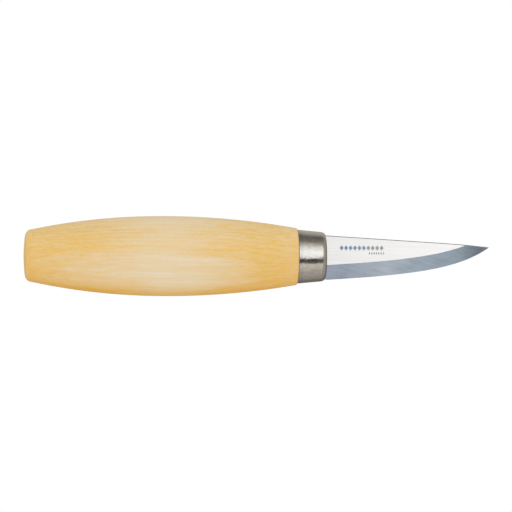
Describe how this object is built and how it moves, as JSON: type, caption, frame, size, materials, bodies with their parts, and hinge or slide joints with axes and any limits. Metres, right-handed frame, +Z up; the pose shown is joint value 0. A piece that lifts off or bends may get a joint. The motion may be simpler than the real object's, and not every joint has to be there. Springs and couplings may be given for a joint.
{
  "type": "whittling knife",
  "caption": "Fixed-blade whittling knife: oval barrel handle of pale birch, tapered steel ferrule, and a short straight-backed carbon-steel blade whose edge curves up to a fine point.",
  "frame": {"origin": "under the middle of the whole knife, on the surface that it lies on", "axes": "+X along the handle's axis towards the blade's tip, +Y from the cutting edge towards the spine, +Z up, with the knife on its side and its axis level"},
  "size_m": [0.165, 0.0282, 0.0226],
  "materials": {
    "birch": "oiled, satin",
    "ferrule_steel": "drawn and polished, with a slightly warm tint",
    "blade_steel": "flat sides brushed lengthwise, bevel ground across",
    "resin": "cured, matt"
  },
  "bodies": {
    "root": {"handle": "birch", "ferrule": "ferrule_steel", "blade": "blade_steel", "tang_adhesive": "resin"}
  },
  "joints": []
}
